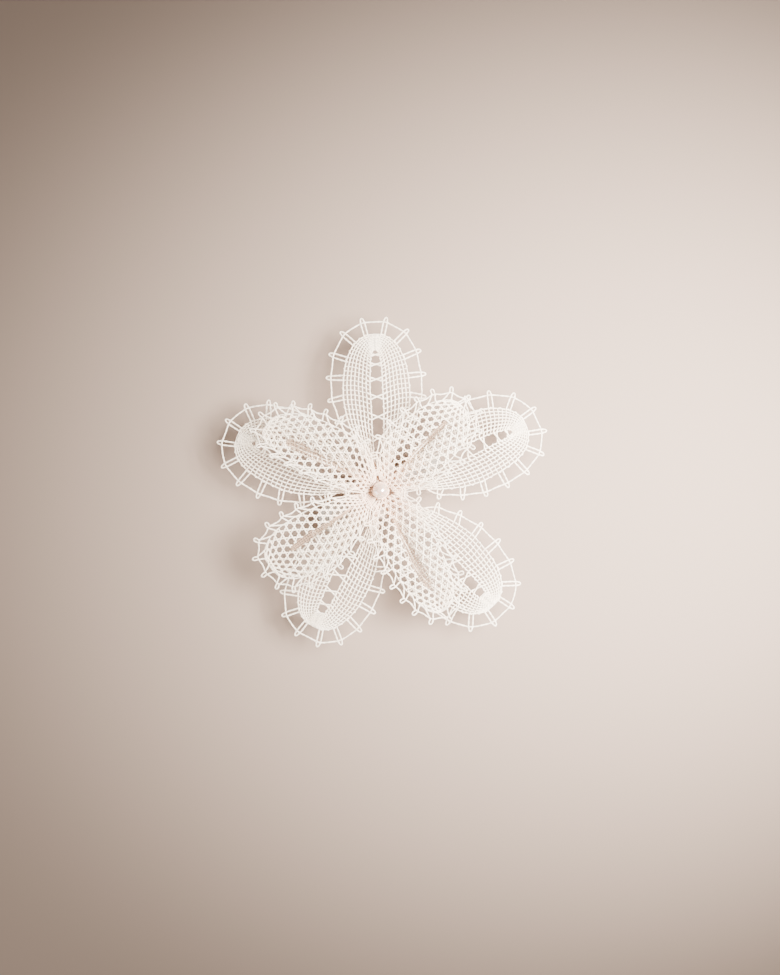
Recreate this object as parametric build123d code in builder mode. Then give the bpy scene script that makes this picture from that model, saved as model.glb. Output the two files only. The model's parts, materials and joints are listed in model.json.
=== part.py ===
from build123d import *

import math
import os

# Flower hair clip in millimetres. +Z points out of the flower's face and +Y towards its top petal.
# The origin is on the clip's flat underside, straight below the bead. The clip's own length runs
# at clip_turn to +X, and its stations are measured along it, positive towards the jaw tips.

clip_turn = 30.0
clip_length = 42.0
clip_width = 8.5
steel_thickness = 0.8
grip_gap = 4.6

lining_thickness = 1.0
lining_rear = -6.0
pad_radius = 8.6
pad_thickness = 1.6

pin_station = -9.0
pin_height = 3.4
pin_radius = 0.7
pin_running_gap = 0.05
pin_head_radius = 1.2
pin_head_thickness = 0.4
ear_radius = 1.9
ear_thickness = 0.6
ear_side_gap = 0.15

ramp_start = 6.2
ramp_end = 13.0
jaw_tip_rise = 3.7
tooth_count = 5
tooth_pitch = 1.4
tooth_height = 0.5

wire_radius = 0.25
coil_radius = 1.25
coil_pitch = 0.62
coil_extra_turns = 4
leg_reach = 9.0

lace_thickness = 0.8
binding_radius = 2.7
binding_height = 2.2
thread_radius = 0.2
bead_radius = 2.35
bead_hole_radius = 0.4
stitch_distance = 6.0

# Shares of a petal's length at which its outline is set out
outline_stations = [0.05, 0.08, 0.13, 0.2, 0.31, 0.45, 0.62, 0.79, 0.92, 0.98]

# Direction in degrees from +X, length, then each side, anticlockwise first: its half width, the
# share of the length where it is widest, and its fullness. A side of low fullness widens sooner.
outer_side = (0.62, 1.1)
outer_petals = {
    "petal_top": (92.2, 52.0, (14.0, *outer_side), (14.0, *outer_side)),
    "petal_upper_right": (25.5, 53.0, (14.0, *outer_side), (14.6, *outer_side)),
    "petal_lower_right": (-46.0, 53.5, (14.3, *outer_side), (14.3, *outer_side)),
    "petal_bottom": (-116.2, 50.5, (13.8, *outer_side), (14.2, *outer_side)),
    "petal_left": (159.5, 51.0, (14.0, *outer_side), (14.0, *outer_side)),
}
inner_petals = {
    "inner_petal_upper_left": (152.0, 44.5, (7.5, 0.6, 0.7), (14.2, 0.42, 0.8)),
    "inner_petal_lower_left": (212.0, 45.0, (14.4, 0.62, 1.0), (11.2, 0.72, 1.0)),
    "inner_petal_lower_right": (-65.0, 45.5, (12.5, 0.55, 0.5), (9.5, 0.6, 0.7)),
    "inner_petal_upper_right": (47.0, 40.0, (12.0, 0.4, 0.8), (12.9, 0.55, 0.65)),
}

# The crest of a petal's long arch: how far out, how far above the pad, and the arch's radius
outer_crest, outer_crest_rise, outer_arch_radius = 29.0, 3.5, 109.0
inner_crest, inner_crest_rise, inner_arch_radius = 38.0, 6.2, 143.0
outer_droop_radius = 45.0
inner_cup_radius = 28.0

lining_height = steel_thickness + grip_gap
jaw_height = lining_height + lining_thickness
pad_height = jaw_height + steel_thickness
lace_height = pad_height + pad_thickness
bead_height = lace_height + binding_height + bead_radius + 0.1

turn = math.radians(clip_turn)
along = Vector(math.cos(turn), math.sin(turn), 0)
across = Vector(-math.sin(turn), math.cos(turn), 0)
rear = -clip_length / 2
tip = clip_length / 2
inner_ear_face = clip_width / 2 - ear_thickness
waist_half_width = inner_ear_face - ear_side_gap


def plan_plane(height):
    return Plane(origin=(0, 0, height), x_dir=along, z_dir=(0, 0, 1))


def side_plane(offset):
    return Plane(origin=across * offset, x_dir=along, z_dir=-across)


def clip_point(station, offset, height):
    return along * station + across * offset + Vector(0, 0, height)


# One hinge ear: a tab from the plate to a round end about the pin
def ear_sketch(plane, plate_height, hole_radius):
    with BuildSketch(plane) as sketch:
        with Locations((pin_station, pin_height)):
            Circle(ear_radius)
        with Locations((pin_station, (pin_height + plate_height) / 2)):
            Rectangle(2 * ear_radius, abs(plate_height - pin_height))
        with Locations((pin_station, pin_height)):
            Circle(hole_radius, mode=Mode.SUBTRACT)
    return sketch


# Upper jaw: a flat tapered plate with an ear bent down from each side
with BuildPart() as upper_jaw:
    with BuildSketch(plan_plane(jaw_height)) as plate:
        with BuildLine():
            Polyline(
                (rear, -clip_width / 2),
                (ramp_start, -clip_width / 2),
                (tip, -clip_width / 3),
                (tip, clip_width / 3),
                (ramp_start, clip_width / 2),
                (rear, clip_width / 2),
                close=True,
            )
        make_face()
        fillet(plate.vertices().sort_by(Axis(origin=(0, 0, 0), direction=along))[:2], radius=3)
        fillet(plate.vertices().sort_by(Axis(origin=(0, 0, 0), direction=along))[-2:], radius=2)
    extrude(amount=steel_thickness)
    for face_offset in (inner_ear_face, -clip_width / 2):
        ear = ear_sketch(side_plane(face_offset), jaw_height + steel_thickness / 2, pin_radius)
        extrude(ear.sketch, amount=-ear_thickness)

# Lower jaw: one strip with a flat lever and middle, a ramp and a toothed tip, with its ears inside
with BuildPart() as lower_jaw:
    tip_top = jaw_tip_rise + steel_thickness
    tooth_row_start = tip - 0.6 - tooth_count * tooth_pitch
    with BuildSketch(side_plane(0)):
        with BuildLine():
            Polyline(
                (rear, 0),
                (ramp_start, 0),
                (ramp_end, jaw_tip_rise),
                (tip, jaw_tip_rise),
                (tip, tip_top),
                (ramp_end - 0.2, tip_top),
                (ramp_start - 0.2, steel_thickness),
                (rear, steel_thickness),
                close=True,
            )
        make_face()
        for number in range(tooth_count):
            foot = tooth_row_start + number * tooth_pitch
            crest = (foot + tooth_pitch * 0.7, tip_top + tooth_height)
            with BuildLine():
                Polyline((foot, tip_top), (foot + tooth_pitch, tip_top), crest, close=True)
            make_face()
    extrude(amount=clip_width / 2, both=True)
    with BuildSketch(plan_plane(-1)) as strip:
        with BuildLine():
            Polyline(
                (rear, -clip_width / 2),
                (pin_station - 3.2, -clip_width / 2),
                (pin_station - 2.6, -waist_half_width),
                (pin_station + 2.6, -waist_half_width),
                (pin_station + 3.2, -clip_width / 2),
                (ramp_start, -clip_width / 2),
                (tip, -clip_width / 3),
                (tip, clip_width / 3),
                (ramp_start, clip_width / 2),
                (pin_station + 3.2, clip_width / 2),
                (pin_station + 2.6, waist_half_width),
                (pin_station - 2.6, waist_half_width),
                (pin_station - 3.2, clip_width / 2),
                (rear, clip_width / 2),
                close=True,
            )
        make_face()
        fillet(strip.vertices().sort_by(Axis(origin=(0, 0, 0), direction=along))[:2], radius=3)
        fillet(strip.vertices().sort_by(Axis(origin=(0, 0, 0), direction=along))[-2:], radius=2)
    extrude(amount=jaw_height, mode=Mode.INTERSECT)
    for face_offset in (waist_half_width - ear_thickness, -waist_half_width):
        ear = ear_sketch(side_plane(face_offset), steel_thickness / 2, pin_radius + pin_running_gap)
        extrude(ear.sketch, amount=-ear_thickness)

# Hinge pin: riveted over outside the upper jaw's ears
with BuildPart() as hinge_pin:
    with BuildSketch(side_plane(0)):
        with Locations((pin_station, pin_height)):
            Circle(pin_radius)
    extrude(amount=clip_width / 2, both=True)
    for side in (1, -1):
        with BuildSketch(side_plane(side * clip_width / 2)):
            with Locations((pin_station, pin_height)):
                Circle(pin_head_radius)
        extrude(amount=-side * pin_head_thickness, taper=20)

# Torsion spring: a coil about the pin, with a straight leg that rests on the inside of each lever
upper_rest = (-leg_reach, jaw_height - wire_radius - pin_height)
lower_rest = (-leg_reach, steel_thickness + wire_radius - pin_height)


def tangent_angle(rest, side):
    return math.atan2(rest[1], rest[0]) % (2 * math.pi) - side * math.acos(coil_radius / math.hypot(*rest))


def leg_length(rest):
    return math.sqrt(math.hypot(*rest) ** 2 - coil_radius**2) / math.cos(coil_slope)


coil_slope = math.atan(coil_pitch / (2 * math.pi * coil_radius))
coil_start = tangent_angle(upper_rest, 1)
coil_turn = 2 * math.pi * (coil_extra_turns + 1) + coil_start - tangent_angle(lower_rest, -1)
coil_length = coil_pitch * coil_turn / (2 * math.pi)
coil_plane = Plane(
    origin=clip_point(pin_station, -coil_length / 2, pin_height),
    x_dir=along * math.cos(coil_start) + Vector(0, 0, math.sin(coil_start)),
    z_dir=across,
)
coil = coil_plane.location * Helix(pitch=coil_pitch, height=coil_length, radius=coil_radius)

with BuildPart() as torsion_spring:
    with BuildLine() as wire:
        upper_leg = Line(coil @ 0 - (coil % 0) * leg_length(upper_rest), coil @ 0)
        add(coil)
        Line(coil @ 1, coil @ 1 + (coil % 1) * leg_length(lower_rest))
    with BuildSketch(Plane(origin=upper_leg @ 0, z_dir=upper_leg % 0)):
        Circle(wire_radius)
    sweep(path=wire.line)

# Felt lining under the upper jaw, and the round felt pad on top of it
with BuildPart() as jaw_lining:
    with BuildSketch(plan_plane(lining_height)) as strip:
        with BuildLine():
            Polyline(
                (lining_rear, -clip_width / 2),
                (ramp_start, -clip_width / 2),
                (tip, -clip_width / 3),
                (tip, clip_width / 3),
                (ramp_start, clip_width / 2),
                (lining_rear, clip_width / 2),
                close=True,
            )
        make_face()
        fillet(strip.vertices().sort_by(Axis(origin=(0, 0, 0), direction=along))[-2:], radius=2)
    extrude(amount=lining_thickness)

with BuildPart() as felt_pad:
    with BuildSketch(Plane.XY.offset(pad_height)):
        Circle(pad_radius)
    extrude(amount=pad_thickness)
    fillet(felt_pad.edges().filter_by(GeomType.CIRCLE), radius=0.3)

# Thread binding that the petal roots are tied to
with BuildPart() as root_binding:
    with BuildSketch(Plane.XY.offset(lace_height)):
        Circle(binding_radius)
    extrude(amount=binding_height)
    fillet(root_binding.edges().filter_by(GeomType.CIRCLE).sort_by(Axis.Z)[-1], radius=0.4)


# How far a petal's edge lies from its middle at a share of its length: a quarter wave out to the
# widest place, then a rounded end
def side_width(share, half_width, widest, fullness):
    if share < widest:
        grown = max(share - 0.05, 0) / (widest - 0.05)
        return half_width * (0.06 + 0.94 * math.sin(math.pi / 2 * grown**fullness))
    return half_width * (1 - ((share - widest) / (1 - widest)) ** 2.3) ** (1 / 2.3)


# A petal: a thin shell of revolution, arched along its length and bent across it, cut to its outline.
# The shell turns about a line along the petal: below it the sides droop, above it they cup upwards.
def make_petal(name, shape, arch, bend_radius):
    angle, length, left_side, right_side = shape
    crest, crest_rise, arch_radius = arch
    heading = math.radians(angle)
    outward = Vector(math.cos(heading), math.sin(heading), 0)
    crest_height = lace_height + crest_rise
    arch_centre = crest_height - arch_radius
    ends = (0, length + 5)

    def arch_point(distance, radius):
        return (distance, arch_centre + math.sqrt(radius**2 - (distance - crest) ** 2))

    with BuildPart() as petal:
        with BuildSketch(Plane(origin=(0, 0, 0), x_dir=outward, z_dir=outward.cross(Vector(0, 0, 1)))):
            with BuildLine():
                skins = []
                for radius in (arch_radius - lace_thickness / 2, arch_radius + lace_thickness / 2):
                    points = [arch_point(distance, radius) for distance in (ends[0], crest, ends[1])]
                    skins.append(ThreePointArc(*points))
                Line(skins[0] @ 0, skins[1] @ 0)
                Line(skins[0] @ 1, skins[1] @ 1)
            make_face()
        revolve(axis=Axis(origin=(0, 0, crest_height + bend_radius), direction=outward))
        with BuildSketch(Plane(origin=(0, 0, pad_height), x_dir=outward, z_dir=(0, 0, 1))):
            with BuildLine():
                left = [(share * length, side_width(share, *left_side)) for share in outline_stations]
                right = [(share * length, -side_width(share, *right_side)) for share in outline_stations]
                Spline(*left, (length, 0), *reversed(right))
                Line(left[0], right[0])
            make_face()
            Circle(binding_radius, mode=Mode.SUBTRACT)
        extrude(amount=abs(bend_radius) / 2, mode=Mode.INTERSECT)
    petal.part.label = name
    return petal


petals = []
outer_arch = (outer_crest, outer_crest_rise, outer_arch_radius)
inner_arch = (inner_crest, inner_crest_rise, inner_arch_radius)
for name, shape in outer_petals.items():
    petals.append(make_petal(name, shape, outer_arch, -outer_droop_radius))
for name, shape in inner_petals.items():
    petals.append(make_petal(name, shape, inner_arch, inner_cup_radius))

# Stitches: one loop of thread over each outer petal's stem, with both feet on the pad
stem_height = lace_height + outer_crest_rise - (outer_crest - stitch_distance) ** 2 / (2 * outer_arch_radius)
stitch_top = stem_height + lace_thickness / 2 + thread_radius + 0.05
stitch_foot = 3.25

with BuildPart() as stem_stitches:
    for angle, *sizes in outer_petals.values():
        heading = math.radians(angle)
        outward = Vector(math.cos(heading), math.sin(heading), 0)
        origin = outward * stitch_distance
        with BuildLine(Plane(origin=origin, x_dir=Vector(0, 0, 1).cross(outward), z_dir=outward)) as stitch:
            FilletPolyline(
                (-stitch_foot, lace_height),
                (-stitch_foot, stitch_top),
                (stitch_foot, stitch_top),
                (stitch_foot, lace_height),
                radius=0.8,
            )
        with BuildSketch(Plane(origin=stitch.line @ 0, z_dir=stitch.line % 0)):
            Circle(thread_radius)
        sweep(path=stitch.line)

# Pearl bead drilled sideways, and the thread that goes up, through it and down
with BuildPart() as pearl_bead:
    with Locations((0, 0, bead_height)):
        Sphere(bead_radius)
    with BuildSketch(Plane.YZ):
        with Locations((0, bead_height)):
            Circle(bead_hole_radius)
    extrude(amount=bead_radius + 1, both=True, mode=Mode.SUBTRACT)

with BuildPart() as bead_thread:
    binding_top = lace_height + binding_height
    leg = bead_radius + thread_radius + 0.05
    with BuildLine(Plane.XZ) as loop:
        FilletPolyline(
            (-leg, binding_top),
            (-leg, bead_height),
            (leg, bead_height),
            (leg, binding_top),
            radius=0.6,
        )
    with BuildSketch(Plane(origin=loop.line @ 0, z_dir=loop.line % 0)):
        Circle(thread_radius)
    sweep(path=loop.line)

upper_jaw.part.label = "upper_jaw"
lower_jaw.part.label = "lower_jaw"
hinge_pin.part.label = "hinge_pin"
torsion_spring.part.label = "torsion_spring"
jaw_lining.part.label = "jaw_lining"
felt_pad.part.label = "felt_pad"
root_binding.part.label = "root_binding"
stem_stitches.part.label = "stem_stitches"
pearl_bead.part.label = "pearl_bead"
bead_thread.part.label = "bead_thread"

os.makedirs("parts", exist_ok=True)
clip_pieces = [upper_jaw, lower_jaw, hinge_pin, torsion_spring, jaw_lining, felt_pad]
flower_pieces = [root_binding, stem_stitches, pearl_bead, bead_thread, *petals]
for piece in clip_pieces + flower_pieces:
    export_step(piece.part, f"parts/{piece.part.label}.step")
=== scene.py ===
import json
import math
import random

import bpy
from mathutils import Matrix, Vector, noise


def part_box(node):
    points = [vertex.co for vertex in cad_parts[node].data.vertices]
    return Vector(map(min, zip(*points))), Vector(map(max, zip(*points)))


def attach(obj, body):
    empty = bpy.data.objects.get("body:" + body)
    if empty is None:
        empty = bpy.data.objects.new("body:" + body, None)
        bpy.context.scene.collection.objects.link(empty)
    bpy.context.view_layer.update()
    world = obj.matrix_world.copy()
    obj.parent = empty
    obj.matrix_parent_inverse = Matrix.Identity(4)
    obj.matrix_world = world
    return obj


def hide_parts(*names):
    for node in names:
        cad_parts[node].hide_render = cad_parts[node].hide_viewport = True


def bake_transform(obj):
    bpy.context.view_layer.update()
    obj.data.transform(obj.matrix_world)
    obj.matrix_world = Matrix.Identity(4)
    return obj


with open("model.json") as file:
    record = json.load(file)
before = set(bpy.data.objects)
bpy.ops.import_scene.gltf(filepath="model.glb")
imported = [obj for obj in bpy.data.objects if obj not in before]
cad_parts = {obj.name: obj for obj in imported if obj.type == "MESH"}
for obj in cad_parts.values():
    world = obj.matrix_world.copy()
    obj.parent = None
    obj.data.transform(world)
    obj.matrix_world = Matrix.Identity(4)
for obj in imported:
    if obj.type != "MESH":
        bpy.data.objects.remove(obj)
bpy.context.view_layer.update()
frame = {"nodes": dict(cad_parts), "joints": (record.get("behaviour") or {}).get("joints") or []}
nodes = frame["nodes"]
mm = 0.001
flowerBody = "flower_and_upper_jaw"
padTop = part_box("felt_pad")[1].z / mm
clipTurn = math.atan2(-frame["joints"][0]["axis"][0], frame["joints"][0]["axis"][1])
print("frame loaded,", len(nodes), "nodes")


def deselectAll():
    bpy.ops.object.select_all(action="DESELECT")


def makeActive(piece):
    deselectAll()
    piece.select_set(True)
    bpy.context.view_layer.objects.active = piece


def applyModifier(piece, kind, **settings):
    makeActive(piece)
    modifier = piece.modifiers.new(kind.lower(), kind)
    for key, value in settings.items():
        setattr(modifier, key, value)
    bpy.ops.object.modifier_apply(modifier=modifier.name)


def newObject(name, data):
    piece = bpy.data.objects.new(name, data)
    bpy.context.scene.collection.objects.link(piece)
    return piece


def weld(gap, outwards=False):  # joins corners that lie closer than the gap
    bpy.ops.object.mode_set(mode="EDIT")
    bpy.ops.mesh.select_all(action="SELECT")
    bpy.ops.mesh.remove_doubles(threshold=gap)
    if outwards:
        bpy.ops.mesh.normals_make_consistent(inside=False)
    bpy.ops.object.mode_set(mode="OBJECT")


def curveToMesh(name, curve):
    makeActive(newObject(name, curve))
    bpy.ops.object.convert(target="MESH")
    return bpy.context.view_layer.objects.active


def shadeSmooth(piece):
    for face in piece.data.polygons:
        face.use_smooth = True


def mergedCopy(nodeName, name):  # a CAD node's shape as a new piece with its corners joined up
    source = nodes[nodeName]
    piece = newObject(name, source.data.copy())
    piece.data.materials.clear()
    makeActive(piece)
    weld(1e-6)
    return piece


def smooth(share):
    share = min(max(share, 0.0), 1.0)
    return share * share * (3 - 2 * share)


# node groups that several materials share

def addNode(tree, kind, place, **values):
    node = tree.nodes.new(kind)
    node.location = (place[0] * 200, place[1] * 160)
    for key, value in values.items():
        setattr(node, key, value)
    return node


def newGroup(name, inputs, outputs):
    tree = bpy.data.node_groups.new(name, "ShaderNodeTree")
    for socket, (kind, value) in inputs.items():
        made = tree.interface.new_socket(name=socket, in_out="INPUT", socket_type=kind)
        if value is not None:
            made.default_value = value
    for socket, kind in outputs.items():
        tree.interface.new_socket(name=socket, in_out="OUTPUT", socket_type=kind)
    return tree, addNode(tree, "NodeGroupInput", (-4, 0)), addNode(tree, "NodeGroupOutput", (4, 0))


def makeFibreGroup():
    # soft colour drift and a fine fibre bump, for thread and felt
    inputs = {
        "Light": ("NodeSocketColor", (1, 1, 1, 1)),
        "Dark": ("NodeSocketColor", (0.5, 0.5, 0.5, 1)),
        "Vector": ("NodeSocketVector", None),
        "Drift Scale": ("NodeSocketFloat", 200.0),
        "Fibre Scale": ("NodeSocketFloat", 4000.0),
        "Bump": ("NodeSocketFloat", 0.3),
    }
    outputs = {"Color": "NodeSocketColor", "Height": "NodeSocketFloat"}
    tree, entry, leave = newGroup("fibreGrain", inputs, outputs)
    link = tree.links.new
    drift = addNode(tree, "ShaderNodeTexNoise", (-2, 1))
    drift.inputs["Detail"].default_value = 3
    fibre = addNode(tree, "ShaderNodeTexNoise", (-2, -1))
    fibre.inputs["Detail"].default_value = 4
    fibre.inputs["Roughness"].default_value = 0.7
    fibre.inputs["Distortion"].default_value = 1.5
    blend = addNode(tree, "ShaderNodeMath", (0, 0), operation="MULTIPLY_ADD")
    blend.inputs[1].default_value = 0.6
    ramp = addNode(tree, "ShaderNodeMapRange", (1, 0))
    ramp.inputs["From Min"].default_value = 0.45
    ramp.inputs["From Max"].default_value = 1.15
    mix = addNode(tree, "ShaderNodeMix", (2, 1), data_type="RGBA")
    height = addNode(tree, "ShaderNodeMath", (2, -1), operation="MULTIPLY")
    link(entry.outputs["Vector"], drift.inputs["Vector"])
    link(entry.outputs["Vector"], fibre.inputs["Vector"])
    link(entry.outputs["Drift Scale"], drift.inputs["Scale"])
    link(entry.outputs["Fibre Scale"], fibre.inputs["Scale"])
    link(fibre.outputs["Fac"], blend.inputs[0])
    link(drift.outputs["Fac"], blend.inputs[2])
    link(blend.outputs[0], ramp.inputs["Value"])
    link(ramp.outputs["Result"], mix.inputs["Factor"])
    link(entry.outputs["Dark"], mix.inputs["A"])
    link(entry.outputs["Light"], mix.inputs["B"])
    link(fibre.outputs["Fac"], height.inputs[0])
    link(entry.outputs["Bump"], height.inputs[1])
    link(mix.outputs["Result"], leave.inputs["Color"])
    link(height.outputs[0], leave.inputs["Height"])
    return tree


def makeEdgeWearGroup():
    # lightens and polishes the edges, where fingers and hair rub
    inputs = {"Width": ("NodeSocketFloat", 0.0003), "Amount": ("NodeSocketFloat", 1.0)}
    tree, entry, leave = newGroup("edgeWear", inputs, {"Mask": "NodeSocketFloat"})
    link = tree.links.new
    rounded = addNode(tree, "ShaderNodeBevel", (-2, 1), samples=6)
    flat = addNode(tree, "ShaderNodeNewGeometry", (-2, -1))
    facing = addNode(tree, "ShaderNodeVectorMath", (-1, 0), operation="DOT_PRODUCT")
    spread = addNode(tree, "ShaderNodeMapRange", (0, 0))
    spread.inputs["From Min"].default_value = 1.0
    spread.inputs["From Max"].default_value = 0.9
    patches = addNode(tree, "ShaderNodeTexNoise", (-1, -2))
    patches.inputs["Scale"].default_value = 900.0
    place = addNode(tree, "ShaderNodeTexCoord", (-2, -2))
    broken = addNode(tree, "ShaderNodeMath", (1, 0), operation="MULTIPLY")
    scaled = addNode(tree, "ShaderNodeMath", (2, 0), operation="MULTIPLY", use_clamp=True)
    link(entry.outputs["Width"], rounded.inputs["Radius"])
    link(rounded.outputs["Normal"], facing.inputs[0])
    link(flat.outputs["Normal"], facing.inputs[1])
    link(facing.outputs["Value"], spread.inputs["Value"])
    link(place.outputs["Object"], patches.inputs["Vector"])
    link(spread.outputs["Result"], broken.inputs[0])
    link(patches.outputs["Fac"], broken.inputs[1])
    link(broken.outputs[0], scaled.inputs[0])
    link(entry.outputs["Amount"], scaled.inputs[1])
    link(scaled.outputs[0], leave.inputs["Mask"])
    return tree


fibreGrain = makeFibreGroup()
edgeWear = makeEdgeWearGroup()


def newMaterial(name, **sockets):
    material = bpy.data.materials.new(name)
    material.use_nodes = True
    shader = material.node_tree.nodes["Principled BSDF"]
    for socket, value in sockets.items():
        shader.inputs[socket.replace("_", " ")].default_value = value
    return material, material.node_tree, shader


def addGroup(tree, group, place, **values):
    node = addNode(tree, "ShaderNodeGroup", place, node_tree=group)
    for key, value in values.items():
        node.inputs[key.replace("_", " ")].default_value = value
    return node


def addBump(tree, shader, height, strength, distance):
    bump = addNode(tree, "ShaderNodeBump", (-1, -3))
    bump.inputs["Strength"].default_value = strength
    bump.inputs["Distance"].default_value = distance
    tree.links.new(height, bump.inputs["Height"])
    tree.links.new(bump.outputs["Normal"], shader.inputs["Normal"])


linenLook = {
    "light": (0.95, 0.85, 0.71, 1),
    "dark": (0.85, 0.71, 0.55, 1),
    "paintedCentreShade": (0.80, 0.53, 0.37, 1),   # painted warm shade that fades out from the flower's middle
    "paintedShadeReach": 0.022,
}


def makeThreadMaterial(name, look, paintedShadeAmount):
    material, tree, shader = newMaterial(
        name, Roughness=0.78, Sheen_Weight=0.35, Sheen_Roughness=0.5, Specular_IOR_Level=0.25
    )
    link = tree.links.new
    coords = addNode(tree, "ShaderNodeTexCoord", (-8, 0))
    grain = addGroup(tree, fibreGrain, (-5, 0), Light=look["light"], Dark=look["dark"])
    grain.inputs["Drift Scale"].default_value = 160.0
    grain.inputs["Fibre Scale"].default_value = 5200.0
    grain.inputs["Bump"].default_value = 1.0
    flatPlace = addNode(tree, "ShaderNodeVectorMath", (-7, 2), operation="MULTIPLY")
    flatPlace.inputs[1].default_value = (1, 1, 0)
    reach = addNode(tree, "ShaderNodeVectorMath", (-6, 2), operation="LENGTH")
    # painted warm shade: the thread colour is mixed towards a brown tone near the flower's middle, fading out
    # with distance
    fade = addNode(tree, "ShaderNodeMapRange", (-5, 2), interpolation_type="SMOOTHSTEP")
    fade.inputs["From Min"].default_value = 0.0
    fade.inputs["From Max"].default_value = look["paintedShadeReach"]
    fade.inputs["To Min"].default_value = paintedShadeAmount
    fade.inputs["To Max"].default_value = 0.0
    paintedCentreShade = addNode(tree, "ShaderNodeMix", (-2, 1), data_type="RGBA")
    paintedCentreShade.inputs["B"].default_value = look["paintedCentreShade"]
    link(coords.outputs["Object"], grain.inputs["Vector"])
    link(coords.outputs["Object"], flatPlace.inputs[0])
    link(flatPlace.outputs["Vector"], reach.inputs[0])
    link(reach.outputs["Value"], fade.inputs["Value"])
    link(fade.outputs["Result"], paintedCentreShade.inputs["Factor"])
    link(grain.outputs["Color"], paintedCentreShade.inputs["A"])
    link(paintedCentreShade.outputs["Result"], shader.inputs["Base Color"])
    addBump(tree, shader, grain.outputs["Height"], 0.5, 0.00006)
    return material


def makeFeltMaterial():
    material, tree, shader = newMaterial(
        "woolFelt", Roughness=0.95, Sheen_Weight=0.6, Sheen_Roughness=0.6, Specular_IOR_Level=0.1
    )
    coords = addNode(tree, "ShaderNodeTexCoord", (-8, 0))
    grain = addGroup(tree, fibreGrain, (-5, 0), Light=(0.66, 0.52, 0.43, 1), Dark=(0.44, 0.33, 0.26, 1))
    grain.inputs["Drift Scale"].default_value = 350.0
    grain.inputs["Fibre Scale"].default_value = 2600.0
    grain.inputs["Bump"].default_value = 1.0
    tree.links.new(coords.outputs["Object"], grain.inputs["Vector"])
    tree.links.new(grain.outputs["Color"], shader.inputs["Base Color"])
    addBump(tree, shader, grain.outputs["Height"], 0.9, 0.00025)
    return material


def makeSteelMaterial(name, tone, roughness):
    material, tree, shader = newMaterial(name, Metallic=1.0, Anisotropic=0.4)
    link = tree.links.new
    coords = addNode(tree, "ShaderNodeTexCoord", (-8, 0))
    turned = addNode(tree, "ShaderNodeMapping", (-7, 0))
    turned.inputs["Rotation"].default_value = (0, 0, -clipTurn)
    stretched = addNode(tree, "ShaderNodeMapping", (-6, 0))
    stretched.inputs["Scale"].default_value = (400, 9000, 9000)
    brushed = addNode(tree, "ShaderNodeTexNoise", (-5, 0))
    brushed.inputs["Scale"].default_value = 1.0
    brushed.inputs["Detail"].default_value = 4
    smudges = addNode(tree, "ShaderNodeTexNoise", (-5, 2))
    smudges.inputs["Scale"].default_value = 260.0
    smudges.inputs["Detail"].default_value = 3
    wear = addGroup(tree, edgeWear, (-5, -2), Width=0.00025, Amount=1.2)
    gloss = addNode(tree, "ShaderNodeMapRange", (-3, 1))
    gloss.inputs["From Min"].default_value = 0.3
    gloss.inputs["From Max"].default_value = 0.7
    gloss.inputs["To Min"].default_value = roughness - 0.07
    gloss.inputs["To Max"].default_value = roughness + 0.12
    polished = addNode(tree, "ShaderNodeMath", (-2, 1), operation="MULTIPLY_ADD", use_clamp=True)
    polished.inputs[1].default_value = -0.12
    shade = addNode(tree, "ShaderNodeMix", (-3, 3), data_type="RGBA")
    shade.inputs["A"].default_value = (tone[0] * 0.86, tone[1] * 0.85, tone[2] * 0.84, 1)
    shade.inputs["B"].default_value = (*tone, 1)
    worn = addNode(tree, "ShaderNodeMix", (-2, 3), data_type="RGBA")
    worn.inputs["B"].default_value = (0.88, 0.85, 0.80, 1)
    link(coords.outputs["Object"], turned.inputs["Vector"])
    link(turned.outputs["Vector"], stretched.inputs["Vector"])
    link(stretched.outputs["Vector"], brushed.inputs["Vector"])
    link(coords.outputs["Object"], smudges.inputs["Vector"])
    link(brushed.outputs["Fac"], gloss.inputs["Value"])
    link(smudges.outputs["Fac"], shade.inputs["Factor"])
    link(shade.outputs["Result"], worn.inputs["A"])
    link(wear.outputs["Mask"], worn.inputs["Factor"])
    link(wear.outputs["Mask"], polished.inputs[0])
    link(gloss.outputs["Result"], polished.inputs[2])
    link(worn.outputs["Result"], shader.inputs["Base Color"])
    link(polished.outputs[0], shader.inputs["Roughness"])
    addBump(tree, shader, brushed.outputs["Fac"], 0.15, 0.00003)
    return material


def makePearlMaterial():
    material, tree, shader = newMaterial(
        "champagnePearl",
        Roughness=0.3,
        Coat_Weight=1.0,
        Coat_Roughness=0.13,
        Coat_IOR=2.8,
        Subsurface_Weight=0.25,
        Subsurface_Scale=0.0006,
        Sheen_Weight=0.2,
    )
    shader.inputs["Thin Film Thickness"].default_value = 320.0
    shader.inputs["Thin Film IOR"].default_value = 1.45
    link = tree.links.new
    coords = addNode(tree, "ShaderNodeTexCoord", (-6, 0))
    clouds = addNode(tree, "ShaderNodeTexNoise", (-5, 0))
    clouds.inputs["Scale"].default_value = 420.0
    clouds.inputs["Detail"].default_value = 4
    mix = addNode(tree, "ShaderNodeMix", (-3, 1), data_type="RGBA")
    mix.inputs["A"].default_value = (0.54, 0.35, 0.25, 1)
    mix.inputs["B"].default_value = (0.66, 0.46, 0.35, 1)
    link(coords.outputs["Object"], clouds.inputs["Vector"])
    link(clouds.outputs["Fac"], mix.inputs["Factor"])
    link(mix.outputs["Result"], shader.inputs["Base Color"])
    addBump(tree, shader, clouds.outputs["Fac"], 0.04, 0.0002)
    return material


# the vein's thread is the lace's ivory thread painted dark brown: painted shade for the folded valley the
# vein lies in
veinShadeLook = {**linenLook, "light": (0.44, 0.29, 0.19, 1), "dark": (0.31, 0.20, 0.12, 1)}
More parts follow.
